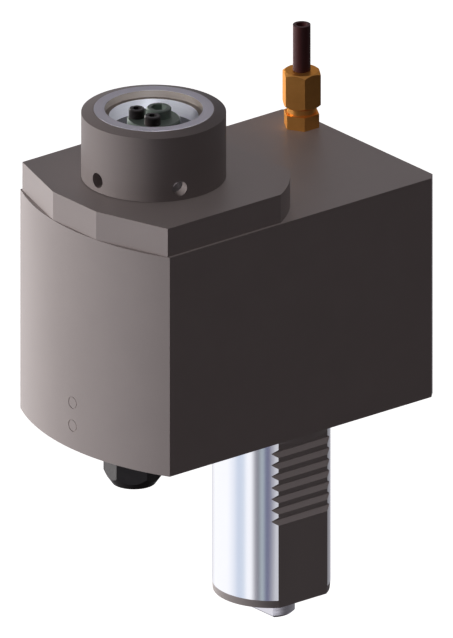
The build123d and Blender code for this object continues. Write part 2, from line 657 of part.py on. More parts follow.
# ---- Bearings -----------------------------------------------------------------------
bearing("shank_bearing", 0, SMALL_BEARING_Z, SMALL_BEARING, SMALL_BALLS)
bearing("middle_bearing", 0, MIDDLE_BEARING_Z, DRIVE_BEARING, DRIVE_BALLS)
bearing("top_bearing", 0, UPPER_BEARING_Z, DRIVE_BEARING, DRIVE_BALLS)
bearing("foot_bearing", SPINDLE_Y, FOOT_BEARING_Z, FOOT_BEARING, FOOT_BALLS)
bearing("inner_spindle_bearing", SPINDLE_Y, SPINDLE_BEARINGS_Z, SPINDLE_BEARING, SPINDLE_BALLS)
bearing("outer_spindle_bearing", SPINDLE_Y, SPINDLE_BEARINGS_Z + SPINDLE_BEARING[2], SPINDLE_BEARING, SPINDLE_BALLS)

race_ring = ring(0, SPINDLE_Y, RACE_RING_Z, RING_THICKNESS - FIT,
                 SPINDLE_SEAT_R - SPINDLE_RING_REACH, SPINDLE_SEAT_R + RING_GROOVE - FIT)
race_ring.part.label = "spindle_retaining_ring"
export_step(race_ring.part, "parts/spindle_retaining_ring.step")

# ---- Drive shaft --------------------------------------------------------------------
journal_r = DRIVE_BEARING[0] - FIT / 2
gear_ring_groove_r = GEAR_SEAT_R - SHAFT_RING_GROOVE
drive_slot = feather_key(0, FIT)
drive_blank = stepped_shaft(0, (
    (-SHANK_LENGTH, SMALL_BEARING_Z + SMALL_BEARING[2] + BEARING_STEP, SMALL_BEARING[0] - FIT / 2),
    (SMALL_BEARING_Z + SMALL_BEARING[2] + BEARING_STEP, PILOT_TOP + SHOULDER_STEP, journal_r),
    (PILOT_TOP + SHOULDER_STEP, GEAR_Z, GEAR_SEAT_R + GEAR_SHOULDER),
    (GEAR_Z, GEAR_TOP, GEAR_SEAT_R - FIT / 2),
    (GEAR_TOP, GEAR_TOP + RING_THICKNESS, gear_ring_groove_r),
    (GEAR_TOP + RING_THICKNESS, CHAMBER_TOP + UPPER_SHOULDER, GEAR_SEAT_R - FIT / 2),
    (CHAMBER_TOP + UPPER_SHOULDER, UPPER_BEARING_Z + DRIVE_BEARING[2] - SHOULDER_STEP, journal_r),
))
with BuildPart() as drive_shaft:
    add(drive_blank.part)
    with BuildSketch(Plane.XY.offset(-SHANK_LENGTH - TANG_LENGTH)):
        Circle(TANG_R)
        Rectangle(2 * TANG_R, TANG_WIDTH, mode=Mode.INTERSECT)
    extrude(amount=TANG_LENGTH)
    chamfer(drive_shaft.faces().sort_by(Axis.Z)[0].edges(), TANG_CHAMFER)
    add(drive_slot.part, mode=Mode.SUBTRACT)
drive_shaft.part.label = "drive_shaft"
export_step(drive_shaft.part, "parts/drive_shaft.step")

# ---- Tool spindle -------------------------------------------------------------------
spindle_journal_r = SPINDLE_BEARING[0] - FIT / 2
lock_nut_z = SPINDLE_BEARINGS_Z - LOCK_NUT_HEIGHT
spindle_slot = feather_key(SPINDLE_Y, FIT)
with BuildPart() as spanner_holes:
    for hole in range(SPANNER_HOLES):
        turn = -90 + hole * 360 / SPANNER_HOLES
        start = (*polar(COLLAR_R - SPANNER_HOLE_DEPTH, turn, SPINDLE_Y), COVER_TOP + SPANNER_HOLE_HEIGHT)
        with BuildSketch(Plane(start, z_dir=(*polar(1, turn), 0))):
            Circle(SPANNER_HOLE_R)
        extrude(amount=SPANNER_HOLE_DEPTH + HOLE_RUNOUT)
spindle_blank = stepped_shaft(SPINDLE_Y, (
    (FOOT_BEARING_Z + SHOULDER_STEP, CHAMBER_FLOOR + SHOULDER_STEP, FOOT_BEARING[0] - FIT / 2),
    (CHAMBER_FLOOR + SHOULDER_STEP, GEAR_Z - RING_THICKNESS, GEAR_SEAT_R - FIT / 2),
    (GEAR_Z - RING_THICKNESS, GEAR_Z, gear_ring_groove_r),
    (GEAR_Z, GEAR_TOP, GEAR_SEAT_R - FIT / 2),
    (GEAR_TOP, BODY_HEIGHT, spindle_journal_r),
    (BODY_HEIGHT, COLLAR_FOOT, SEAL_SHOULDER_R - FIT),
    (COLLAR_FOOT, FACE_Z, NOSE_R),
))
with BuildPart() as tool_spindle:
    add(spindle_blank.part)
    for bottom, radius in ((FACE_Z - COUNTERBORE_DEPTH, COUNTERBORE_R), (SOCKET_FLOOR, SOCKET_R)):
        with BuildSketch(Plane((0, SPINDLE_Y, bottom))):
            Circle(radius)
        extrude(amount=FACE_Z - bottom, mode=Mode.SUBTRACT)
    add(spindle_slot.part, mode=Mode.SUBTRACT)
    add(spanner_holes.part, mode=Mode.SUBTRACT)
tool_spindle.part.label = "tool_spindle"
export_step(tool_spindle.part, "parts/tool_spindle.step")

with BuildPart() as nose_collar:
    with BuildSketch(Plane((0, SPINDLE_Y, 0), x_dir=(1, 0, 0), z_dir=(0, -1, 0))):
        with BuildLine():
            Polyline(
                (NOSE_R + FIT, COLLAR_FOOT),
                (COLLAR_R, COLLAR_FOOT),
                (COLLAR_R, FACE_Z - COLLAR_RIM_HEIGHT),
                (COLLAR_RIM_R, FACE_Z - 2 * FIT),
                (NOSE_R + FIT, FACE_Z - 2 * FIT),
                close=True,
            )
        make_face()
    revolve(axis=Axis((0, SPINDLE_Y, 0), (0, 0, 1)))
    add(spanner_holes.part, mode=Mode.SUBTRACT)
nose_collar.part.label = "nose_collar"
export_step(nose_collar.part, "parts/nose_collar.step")

# ---- Gears, keys and rings on the shafts --------------------------------------------
tooth_step = 360 / TEETH
for name, axis_y, first_tooth, ring_z in (
    ("drive", 0, -90, GEAR_TOP),
    ("spindle", SPINDLE_Y, 90 + tooth_step / 2, GEAR_Z - RING_THICKNESS),
):
    wheel = gear(axis_y, first_tooth)
    wheel.part.label = f"{name}_gear"
    export_step(wheel.part, f"parts/{name}_gear.step")
    key = feather_key(axis_y)
    key.part.label = f"{name}_gear_key"
    export_step(key.part, f"parts/{name}_gear_key.step")
    gear_ring = ring(0, axis_y, ring_z + FIT, RING_THICKNESS - 2 * FIT,
                     gear_ring_groove_r + FIT, GEAR_SEAT_R + SHAFT_RING_REACH)
    gear_ring.part.label = f"{name}_gear_ring"
    export_step(gear_ring.part, f"parts/{name}_gear_ring.step")

with BuildPart() as lock_nut:
    with BuildSketch(Plane((0, SPINDLE_Y, lock_nut_z))):
        Circle(LOCK_NUT_R)
        Circle(SPINDLE_BEARING[0], mode=Mode.SUBTRACT)
        with Locations((0, 0)):
            with PolarLocations(LOCK_NUT_R, LOCK_NUT_SLOTS):
                Rectangle(LOCK_NUT_SLOT_DEPTH, LOCK_NUT_SLOT_WIDTH, mode=Mode.SUBTRACT)
    extrude(amount=LOCK_NUT_HEIGHT)
lock_nut.part.label = "spindle_lock_nut"
export_step(lock_nut.part, "parts/spindle_lock_nut.step")

spindle_seal = ring(0, SPINDLE_Y, SEAL_Z, SEAL_WIDTH, SEAL_SHOULDER_R + FIT, SEAL_R)
spindle_seal.part.label = "spindle_seal"
export_step(spindle_seal.part, "parts/spindle_seal.step")

# ---- Clamping unit in the socket ----------------------------------------------------
disc_top = SOCKET_FLOOR + CLAMP_DISC_HEIGHT
clamp_top = FACE_Z - CLAMP_BELOW_FACE
with BuildPart() as clamp_disc:
    with BuildSketch(Plane((0, SPINDLE_Y, SOCKET_FLOOR))):
        Circle(CLAMP_DISC_R)
    extrude(amount=CLAMP_DISC_HEIGHT)
    chamfer(clamp_disc.faces().sort_by(Axis.Z)[-1].edges(), CLAMP_DISC_CHAMFER)
clamp_disc.part.label = "clamp_disc"
export_step(clamp_disc.part, "parts/clamp_disc.step")

with BuildPart() as clamp_bolt:
    with BuildSketch(Plane((CLAMP_BOLT_X, SPINDLE_Y + CLAMP_BOLT_Y, disc_top))):
        Circle(CLAMP_BOLT_R)
    extrude(amount=clamp_top - disc_top)
    chamfer(clamp_bolt.faces().sort_by(Axis.Z)[-1].edges(), CLAMP_BOLT_CHAMFER)
    with BuildSketch(Plane((CLAMP_BOLT_X, SPINDLE_Y + CLAMP_BOLT_Y, clamp_top))):
        RegularPolygon(CLAMP_BOLT_KEY_WIDTH / 2, 6, major_radius=False)
    extrude(amount=-CLAMP_BOLT_KEY_DEPTH, mode=Mode.SUBTRACT)
clamp_bolt.part.label = "clamp_bolt"
export_step(clamp_bolt.part, "parts/clamp_bolt.step")

with BuildPart() as clamp_screws:
    for x in (-CLAMP_SCREW_X, CLAMP_SCREW_X):
        with BuildSketch(Plane((x, SPINDLE_Y + CLAMP_SCREW_Y, disc_top))):
            Circle(CLAMP_SCREW_R)
        extrude(amount=clamp_top - disc_top)
    chamfer(clamp_screws.faces().group_by(Axis.Z)[-1].edges(), CLAMP_SCREW_CHAMFER)
    for x in (-CLAMP_SCREW_X, CLAMP_SCREW_X):
        with BuildSketch(Plane((x, SPINDLE_Y + CLAMP_SCREW_Y, clamp_top))):
            RegularPolygon(CLAMP_SCREW_KEY_WIDTH / 2, 6, major_radius=False)
        extrude(amount=-CLAMP_SCREW_KEY_DEPTH, mode=Mode.SUBTRACT)
clamp_screws.part.label = "clamp_screws"
export_step(clamp_screws.part, "parts/clamp_screws.step")
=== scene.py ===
"""Looks of a driven tool holder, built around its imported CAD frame.

The CAD pieces keep their shapes. This script gives every one of them a procedural finish, and
sets the camera and studio.
"""

import json
import logging
import math
from dataclasses import dataclass, field
from enum import Enum
from typing import Any, Iterable, Optional, Sequence, Union

import bmesh
import bpy
from mathutils import Matrix, Vector


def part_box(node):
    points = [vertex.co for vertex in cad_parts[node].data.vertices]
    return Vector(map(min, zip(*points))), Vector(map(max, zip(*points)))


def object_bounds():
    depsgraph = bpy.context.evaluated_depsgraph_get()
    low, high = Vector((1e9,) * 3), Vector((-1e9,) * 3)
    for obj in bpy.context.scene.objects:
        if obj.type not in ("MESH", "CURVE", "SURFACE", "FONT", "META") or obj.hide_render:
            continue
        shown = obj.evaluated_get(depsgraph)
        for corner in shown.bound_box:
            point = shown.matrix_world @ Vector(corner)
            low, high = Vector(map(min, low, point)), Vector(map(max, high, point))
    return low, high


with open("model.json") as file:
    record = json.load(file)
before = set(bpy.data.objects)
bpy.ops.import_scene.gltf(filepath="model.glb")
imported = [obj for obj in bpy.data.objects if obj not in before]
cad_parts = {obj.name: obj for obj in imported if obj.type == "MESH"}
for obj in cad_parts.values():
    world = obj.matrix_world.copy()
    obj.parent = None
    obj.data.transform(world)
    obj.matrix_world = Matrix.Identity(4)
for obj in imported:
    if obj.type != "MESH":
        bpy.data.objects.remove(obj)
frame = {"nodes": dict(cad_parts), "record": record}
CAD_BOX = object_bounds()

log = logging.getLogger("tool_holder")
logging.basicConfig(level=logging.INFO, format="%(name)s: %(message)s")

MM = 0.001
Colour = tuple[float, float, float]


class Direction(Enum):
    """Which way a machined grain runs over a surface."""

    ROUND = "round"
    UPRIGHT = "upright"
    ALL_WAYS = "all_ways"


# ---- Shader building ----------------------------------------------------------------
class Wire:
    """One output socket, with operators that add Math nodes to its tree."""

    def __init__(self, tree: "ShaderTree", socket: bpy.types.NodeSocket) -> None:
        """Wraps a socket.

        Args:
            tree: The tree that the socket belongs to.
            socket: The output socket.
        """
        self.tree = tree
        self.socket = socket

    def _math(self, operation: str, *values: Any) -> "Wire":
        """Adds a Math node.

        Args:
            operation: The node's operation.
            values: The values or wires of its sockets, in order.

        Returns:
            The node's result.
        """
        inputs = dict(enumerate(values))
        return self.tree.node("ShaderNodeMath", {"operation": operation}, inputs)

    def __add__(self, other: Any) -> "Wire":
        """Sum."""
        return self._math("ADD", self, other)

    __radd__ = __add__

    def __sub__(self, other: Any) -> "Wire":
        """Difference."""
        return self._math("SUBTRACT", self, other)

    def __rsub__(self, other: Any) -> "Wire":
        """Difference from a number."""
        return self._math("SUBTRACT", other, self)

    def __mul__(self, other: Any) -> "Wire":
        """Product."""
        return self._math("MULTIPLY", self, other)

    __rmul__ = __mul__

    def __truediv__(self, other: Any) -> "Wire":
        """Quotient."""
        return self._math("DIVIDE", self, other)

    def __gt__(self, other: Any) -> "Wire":
        """1 where this is greater, else 0."""
        return self._math("GREATER_THAN", self, other)

    def __lt__(self, other: Any) -> "Wire":
        """1 where this is less, else 0."""
        return self._math("LESS_THAN", self, other)

    def ramp(self, low: float, high: float) -> "Wire":
        """Smooth step from 0 at low to 1 at high."""
        settings = {"interpolation_type": "SMOOTHSTEP"}
        return self.tree.node("ShaderNodeMapRange", settings, {"Value": self, "From Min": low, "From Max": high})


class ShaderTree:
    """A node tree with one method that makes any node."""

    def __init__(self, owner: Union[bpy.types.Material, bpy.types.World]) -> None:
        """Empties the owner's tree and takes it over.

        Args:
            owner: The material or world.
        """
        owner.use_nodes = True
        self.tree = owner.node_tree
        self.tree.nodes.clear()

    def node(self, kind: str, settings: Optional[dict] = None, inputs: Optional[dict] = None,
             output: Union[int, str] = 0) -> Wire:
        """Makes a node, sets it and links it.

        Args:
            kind: The node's type.
            settings: Its properties; "stops" sets a colour ramp's stops.
            inputs: Values or wires by socket name or number.
            output: The output to return.

        Returns:
            That output.
        """
        made = self.tree.nodes.new(kind)
        for name, value in (settings or {}).items():
            if name == "stops":
                self._set_stops(made.color_ramp, value)
            else:
                setattr(made, name, value)
        for name, value in (inputs or {}).items():
            if isinstance(value, Wire):
                self.tree.links.new(value.socket, made.inputs[name])
            else:
                made.inputs[name].default_value = value
        return Wire(self, made.outputs[output])

    @staticmethod
    def _set_stops(ramp: bpy.types.ColorRamp, stops: Sequence[tuple[float, Colour]]) -> None:
        """Gives a colour ramp its stops.

        Args:
            ramp: The ramp.
            stops: Position and colour of each stop, in order.
        """
        while len(ramp.elements) < len(stops):
            ramp.elements.new(1.0)
        for element, (place, colour) in zip(ramp.elements, stops):
            element.position = place
            element.color = (*colour, 1.0)

    def place(self) -> Wire:
        """The surface point in the row frame, in metres."""
        return self.node("ShaderNodeTexCoord", output="Object")

    def parts(self, vector: Wire) -> tuple[Wire, Wire, Wire]:
        """X, Y and Z of a vector."""
        split = self.node("ShaderNodeSeparateXYZ", inputs={0: vector})
        outputs = split.socket.node.outputs
        return tuple(Wire(self, outputs[name]) for name in ("X", "Y", "Z"))

    def moved(self, centre: Vector, scale: Sequence[float] = (1.0, 1.0, 1.0)) -> Wire:
        """The surface point measured from a centre, then scaled."""
        offset = self.node("ShaderNodeVectorMath", {"operation": "SUBTRACT"}, {0: self.place(), 1: centre})
        return self.node("ShaderNodeVectorMath", {"operation": "MULTIPLY"}, {0: offset, 1: scale})

    def radius(self, centre: Vector) -> Wire:
        """Distance from a vertical axis, in metres."""
        return self.node("ShaderNodeVectorMath", {"operation": "LENGTH"},
                         {0: self.moved(centre, (1.0, 1.0, 0.0))}, "Value")

    def noise(self, vector: Wire, scale: float, detail: float = 3.0, rough: float = 0.5) -> Wire:
        """Noise between 0 and 1."""
        return self.node("ShaderNodeTexNoise", {"normalize": True},
                         {"Vector": vector, "Scale": scale, "Detail": detail, "Roughness": rough})

    def mix(self, factor: Any, low: Any, high: Any) -> Wire:
        """Mixes two colours.

        Args:
            factor: 0 for low, 1 for high.
            low: Colour or wire.
            high: Colour or wire.

        Returns:
            The mixed colour.
        """
        def full(value: Any) -> Any:
            """A plain colour with its alpha."""
            return value if isinstance(value, Wire) else (*value, 1.0)

        made = self.tree.nodes.new("ShaderNodeMix")
        made.data_type = "RGBA"
        for name, value in (("Factor_Float", factor), ("A_Color", full(low)), ("B_Color", full(high))):
            target = next(s for s in made.inputs if s.identifier == name)
            if isinstance(value, Wire):
                self.tree.links.new(value.socket, target)
            else:
                target.default_value = value
        result = next(s for s in made.outputs if s.identifier == "Result_Color")
        return Wire(self, result)

    def bump(self, height: Wire, distance: float, strength: float = 1.0) -> Wire:
        """Normal of a small height, in metres."""
        return self.node("ShaderNodeBump", None, {"Height": height, "Distance": distance, "Strength": strength},
                         "Normal")

    def surface(self, **sockets: Any) -> None:
        """Ends a material in one Principled shader.

        Args:
            sockets: Values or wires by socket name, with underscores for spaces.
        """
        inputs = {name.replace("_", " "): value for name, value in sockets.items()}
        shader = self.node("ShaderNodeBsdfPrincipled", None, inputs, "BSDF")
        self.node_end("ShaderNodeOutputMaterial", "Surface", shader)

    def node_end(self, kind: str, socket: str, value: Wire) -> None:
        """Adds a closing node, which has no outputs."""
        made = self.tree.nodes.new(kind)
        self.tree.links.new(value.socket, made.inputs[socket])


def grain(tree: ShaderTree, direction: Direction, centre: Vector, pitch: float) -> Wire:
    """Machined grain between 0 and 1.

    Args:
        tree: The tree to build in.
        direction: Which way the grain runs.
        centre: A point on the part's axis.
        pitch: Typical spacing of the marks, in metres.

    Returns:
        The grain.
    """
    if direction is Direction.ALL_WAYS:
        return tree.noise(tree.moved(centre), 1.0 / pitch, 4.0, 0.6)
    if direction is Direction.UPRIGHT:
        return tree.noise(tree.moved(centre, (1.0, 1.0, 0.04)), 1.0 / pitch, 3.0)
    radius = tree.radius(centre)
    height = tree.parts(tree.moved(centre))[2]
    rings = tree.node("ShaderNodeCombineXYZ", inputs={"X": radius, "Y": height})
    return tree.noise(rings, 1.0 / pitch, 2.0)


# ---- Finishes -----------------------------------------------------------------------
@dataclass(frozen=True)
class Burnished:
    """Warm dark grey burnished steel, with a fine machined grain and faint mottling."""

    name: str
    base: Colour = (0.374, 0.328, 0.322)
    direction: Direction = Direction.ALL_WAYS
    centre: Vector = field(default_factory=lambda: Vector((0.0, 0.0, 0.0)))
    pitch: float = 0.5 * MM
    roughness: float = 0.46
    gloss: float = 0.5

    def make(self) -> bpy.types.Material:
        """Builds the material."""
        material = bpy.data.materials.new(self.name)
        tree = ShaderTree(material)
        marks = grain(tree, self.direction, self.centre, self.pitch)
        mottle = tree.noise(tree.moved(self.centre), 60.0, 4.0, 0.55)
        dark = tuple(0.90 * value for value in self.base)
        light = tuple(1.10 * value for value in self.base)
        colour = tree.mix(mottle * 0.6 + marks * 0.4, dark, light)
        tree.surface(Base_Color=colour, Roughness=self.roughness - 0.05 + marks * 0.08 + mottle * 0.05,
                     Metallic=0.06, Specular_IOR_Level=self.gloss, Normal=tree.bump(marks, 0.015 * MM))
        return material


@dataclass(frozen=True)
class GroundShank:
    """Polished round shank whose flat, teeth, chamfer and flange stay dark."""

    name: str
    axis: Vector
    ground_radius: float
    ground_length: float
    flat_x: float

    def make(self) -> bpy.types.Material:
        """Builds the material."""
        material = bpy.data.materials.new(self.name)
        tree = ShaderTree(material)
        radius = tree.radius(self.axis)
        across, _, height = tree.parts(tree.moved(self.axis))
        on_round = (radius > self.ground_radius - 0.05 * MM) * (radius < self.ground_radius + 0.05 * MM)
        bright = on_round * (height < -0.2 * MM) * (height > -self.ground_length) * \
            (across < self.flat_x - 0.05 * MM)
        marks = grain(tree, Direction.ROUND, self.axis, 0.25 * MM)
        smears = tree.noise(tree.moved(self.axis, (1.0, 1.0, 0.3)), 45.0, 4.0, 0.6)
        ground = tree.mix(marks * 0.5 + smears * 0.5, (0.80, 0.81, 0.86), (0.93, 0.935, 0.96))
        dull = tree.mix(smears, (0.335, 0.30, 0.30), (0.39, 0.35, 0.34))
        tree.surface(Base_Color=tree.mix(bright, dull, ground), Metallic=bright * 0.9 + 0.1,
                     Roughness=0.48 - bright * 0.36 + marks * 0.05 + smears * 0.04,
                     Normal=tree.bump(marks, 0.004 * MM))
        return material


@dataclass(frozen=True)
class BrightSteel:
    """Turned or ground bare steel."""

    name: str
    base: Colour = (0.66, 0.65, 0.70)
    centre: Vector = field(default_factory=lambda: Vector((0.0, 0.0, 0.0)))
    pitch: float = 0.3 * MM
    roughness: float = 0.2

    def make(self) -> bpy.types.Material:
        """Builds the material."""
        material = bpy.data.materials.new(self.name)
        tree = ShaderTree(material)
        marks = grain(tree, Direction.ROUND, self.centre, self.pitch)
        smears = tree.noise(tree.moved(self.centre), 90.0, 4.0, 0.6)
        dark = tuple(0.88 * value for value in self.base)
        tree.surface(Base_Color=tree.mix(marks * 0.6 + smears * 0.4, dark, self.base), Metallic=0.95,
                     Roughness=self.roughness + marks * 0.08 + smears * 0.05, Normal=tree.bump(marks, 0.006 * MM))
        return material


@dataclass(frozen=True)
class SpindleNose:
    """Ground ring face, brown counterbore wall and polished socket on one spindle, with painted shade: the counterbore
    wall darkened, the socket floor near black, and the outer flank seen through the spanner holes dark.
    """

    name: str
    axis: Vector
    ring_inner: float
    face_z: float
    counterbore_depth: float
    floor_z: float

    def make(self) -> bpy.types.Material:
        """Builds the material."""
        material = bpy.data.materials.new(self.name)
        tree = ShaderTree(material)
        radius = tree.radius(self.axis)
        height = tree.parts(tree.place())[2]
        marks = grain(tree, Direction.ROUND, self.axis, 0.22 * MM)
        on_face = height > self.face_z - 0.05 * MM
        in_counterbore = (height > self.face_z - self.counterbore_depth - 0.05 * MM) * \
            (height < self.face_z - 0.05 * MM) * (radius < self.ring_inner + 0.1 * MM)
        painted_shade_floor = (height < self.floor_z + 0.05 * MM) * (height > self.floor_z - 0.5 * MM)
        painted_shade_flank = (height < self.floor_z - 1.0 * MM) * (height > self.floor_z - 20.0 * MM)
        ring = tree.mix(marks, (0.62, 0.605, 0.69), (0.76, 0.745, 0.83))
        polished = tree.mix(marks, (0.80, 0.80, 0.88), (0.95, 0.95, 0.98))
        colour = tree.mix(on_face, polished, ring)
        # Partly painted shade: the counterbore wall takes a dull brown steel tone, darkened further so the socket lamp
        # leaves the recess dim.
        colour = tree.mix(in_counterbore, colour, (0.30, 0.26, 0.23))
        # Painted shade: the socket floor is coloured near black to stand for the shade at the bottom of the socket.
        colour = tree.mix(painted_shade_floor, colour, (0.045, 0.042, 0.05))
        # Painted shade: the outer flank, seen only through the spanner holes, is coloured dark to stand for the shade
        # inside the holes.
        colour = tree.mix(painted_shade_flank, colour, (0.16, 0.14, 0.138))
        dull = in_counterbore + painted_shade_floor + painted_shade_flank
        tree.surface(Base_Color=colour, Metallic=0.45 - dull * 0.35,
                     Roughness=0.30 + marks * 0.05 + dull * 0.15,
                     Normal=tree.bump(marks, 0.004 * MM))
        return material


@dataclass(frozen=True)
class BlackOxide:
    """Black oxide on steel, a little browner where it has rubbed."""

    name: str
    base: Colour = (0.030, 0.026, 0.028)
    rubbed: Colour = (0.085, 0.07, 0.066)
    roughness: float = 0.34

    def make(self) -> bpy.types.Material:
        """Builds the material."""
        material = bpy.data.materials.new(self.name)
        tree = ShaderTree(material)
        fine = tree.noise(tree.place(), 900.0, 3.0, 0.6)
        wear = tree.noise(tree.place(), 160.0, 4.0, 0.6).ramp(0.45, 0.8)
        tree.surface(Base_Color=tree.mix(wear * 0.6, self.base, self.rubbed), Metallic=0.35,
                     Roughness=self.roughness + fine * 0.12, Normal=tree.bump(fine, 0.01 * MM))
        return material


@dataclass(frozen=True)
class Brass:
    """Machined brass with turning marks and a slightly dulled, browner bloom."""

    name: str
    axis: Vector
    bright: Colour = (0.90, 0.445, 0.12)
    dulled: Colour = (0.62, 0.275, 0.065)

    def make(self) -> bpy.types.Material:
        """Builds the material."""
        material = bpy.data.materials.new(self.name)
        tree = ShaderTree(material)
        marks = grain(tree, Direction.ROUND, self.axis, 0.35 * MM)
        bloom = tree.noise(tree.moved(self.axis), 170.0, 4.0, 0.55)
        tree.surface(Base_Color=tree.mix(bloom * 0.7 + marks * 0.3, self.dulled, self.bright), Metallic=0.75,
                     Specular_Tint=(1.0, 0.60, 0.28, 1.0),
                     Roughness=0.27 + marks * 0.1 + bloom * 0.08, Normal=tree.bump(marks, 0.01 * MM))
        return material


@dataclass(frozen=True)
class HosePipe:
    """Dark red-brown pipe, nearly black on its shaded side, with faint draw lines."""

    name: str
    axis: Vector

    def make(self) -> bpy.types.Material:
        """Builds the material."""
        material = bpy.data.materials.new(self.name)
        tree = ShaderTree(material)
        lines = grain(tree, Direction.UPRIGHT, self.axis, 0.35 * MM)
        cloud = tree.noise(tree.moved(self.axis), 220.0, 3.0)
        tree.surface(Base_Color=tree.mix(lines * 0.5 + cloud * 0.5, (0.050, 0.014, 0.015), (0.115, 0.030, 0.032)),
                     Roughness=0.46 + lines * 0.12, Metallic=0.0, Specular_IOR_Level=0.3, Normal=tree.bump(lines, 0.01 * MM))
        return material


@dataclass(frozen=True)
class Rubber:
    """Matt black seal rubber."""

    name: str

    def make(self) -> bpy.types.Material:
        """Builds the material."""
        material = bpy.data.materials.new(self.name)
        tree = ShaderTree(material)
        fine = tree.noise(tree.place(), 1500.0, 3.0)
        tree.surface(Base_Color=tree.mix(fine, (0.022, 0.022, 0.023), (0.05, 0.05, 0.05)),
                     Roughness=0.7 + fine * 0.15, Metallic=0.0, Normal=tree.bump(fine, 0.02 * MM))
        return material


@dataclass(frozen=True)
class GreenClamp:
    """Grey-green phosphated steel of the clamping unit."""

    name: str
    axis: Vector

    def make(self) -> bpy.types.Material:
        """Builds the material."""
        material = bpy.data.materials.new(self.name)
        tree = ShaderTree(material)
        fine = tree.noise(tree.place(), 1100.0, 3.0, 0.6)
        marks = grain(tree, Direction.ROUND, self.axis, 0.4 * MM)
        tree.surface(Base_Color=tree.mix(marks * 0.5 + fine * 0.5, (0.125, 0.165, 0.142), (0.19, 0.24, 0.21)),
                     Roughness=0.36 + fine * 0.12, Metallic=0.3, Normal=tree.bump(fine, 0.01 * MM))
        return material


# ---- Sub-assemblies -----------------------------------------------------------------
def dress(nodes: Iterable[str], material: bpy.types.Material) -> None:
    """Gives CAD nodes one material.

    Args:
        nodes: Names of the nodes.
        material: Their finish.
    """
    for name in nodes:
        slots = frame["nodes"][name].data.materials
        slots.clear()
        slots.append(material)
        log.info("%s: %s", name, material.name)


def middle(node: str) -> Vector:
    """Middle of a CAD node's box."""
    low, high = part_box(node)
    return (low + high) / 2


@dataclass
class HousingBlock:
    """Housing, cover, their screws, dowels and plugs."""

    grain_pitch: float = 0.55 * MM

    def build(self) -> None:
        """Dresses the housing's pieces."""
        steel = Burnished("burnished_housing", pitch=self.grain_pitch).make()
        dress(("housing", "cover", "front_plugs"), steel)
        dress(("flange_screws", "cover_screws", "spindle_retaining_ring", "shank_retaining_ring",
               "drive_gear_ring", "spindle_gear_ring", "spindle_lock_nut"), BlackOxide("black_oxide").make())
        dress(("oil_plug",), BlackOxide("black_plug", (0.036, 0.032, 0.033), (0.062, 0.055, 0.053), 0.46).make())
        dress(("cover_dowels",), BrightSteel("dowel_steel").make())
        dress(("shank_seal", "spindle_seal", "coolant_face_seal"), Rubber("seal_rubber").make())


@dataclass
class ShankUnit:
    """The toothed shank."""

    flat_x: float = 17.0 * MM

    def build(self) -> None:
        """Dresses the shank by its radius, which tells ground from dark faces."""
        axis = middle("shank_seal")
        mount = next(row for row in frame["record"]["mounts"] if row["name"] == "shank")
        radius, length = (mount["dims"][size] * MM for size in ("r_mm", "length_mm"))
        ground = GroundShank("ground_shank", Vector((axis.x, axis.y, 0.0)), radius, length, self.flat_x)
        dress(("shank",), ground.make())


@dataclass
class SpindleUnit:
    """Tool spindle, its collar and the clamping unit in its socket."""

    counterbore_depth: float = 2.5 * MM
    ring_inner: float = 16.6 * MM

    def build(self) -> None:
        """Dresses the spindle's pieces."""
        axis = middle("tool_spindle")
        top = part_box("tool_spindle")[1].z
        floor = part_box("clamp_disc")[0].z
        nose = SpindleNose("spindle_nose", Vector((axis.x, axis.y, 0.0)), self.ring_inner, top,
                           self.counterbore_depth, floor)
        dress(("tool_spindle",), nose.make())
        dress(("nose_collar",), Burnished("turned_collar", direction=Direction.ROUND, centre=axis,
                                          base=(0.315, 0.276, 0.270), pitch=0.3 * MM, roughness=0.5, gloss=0.35).make())
        dress(("clamp_disc", "clamp_bolt"), GreenClamp("green_clamp", axis).make())
        dress(("clamp_screws",), BlackOxide("black_clamp_screws", (0.022, 0.018, 0.019), (0.09, 0.06, 0.055)).make())


@dataclass
class DriveTrain:
    """Shafts, gears, keys and bearings inside the housing."""

    def build(self) -> None:
        """Dresses the moving inner pieces."""
        drive_axis = middle("drive_gear_key")
        dress(("drive_shaft",), BrightSteel("shaft_steel", centre=Vector((0.0, 0.0, 0.0)), roughness=0.16).make())
        gears = ("drive_gear", "spindle_gear", "drive_gear_key", "spindle_gear_key")
        dress(gears, BrightSteel("gear_steel", (0.42, 0.42, 0.44), drive_axis, 0.5 * MM, 0.3).make())
        races = [name for name in frame["nodes"] if name.endswith(("_race", "_balls"))]
        dress(races, BrightSteel("bearing_steel", (0.72, 0.73, 0.75), roughness=0.12).make())


@dataclass
class CoolantConnector:
    """Brass connector and its pipe."""

    def build(self) -> None:
        """Dresses the connector's pieces."""
        axis = middle("connector_nut")
        dress(("connector_body", "connector_nut"), Brass("machined_brass", axis).make())
        dress(("coolant_pipe",), HosePipe("hose_pipe", axis).make())


